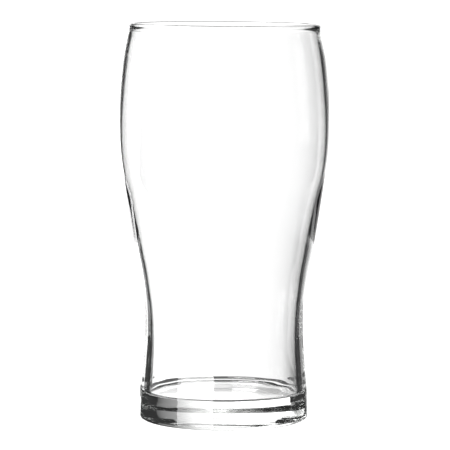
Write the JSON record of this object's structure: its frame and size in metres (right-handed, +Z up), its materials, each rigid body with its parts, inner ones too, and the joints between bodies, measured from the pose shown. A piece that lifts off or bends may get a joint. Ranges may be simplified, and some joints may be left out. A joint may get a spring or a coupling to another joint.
{
  "type": "pint glass",
  "caption": "Clear tulip-shaped beer glass with a thick foot, a narrow waist, a wide upper bowl and a rounded lip, for serving a pint.",
  "frame": {"origin": "centre of the foot, on the surface that the glass stands on", "axes": "+Z up along the axis that the glass is turned round, towards the mouth; X and Y are any two level directions"},
  "size_m": [0.0848, 0.0848, 0.16],
  "materials": {
    "glass": "clear gloss, fire polished"
  },
  "bodies": {
    "root": {"glass": "glass"}
  },
  "joints": []
}
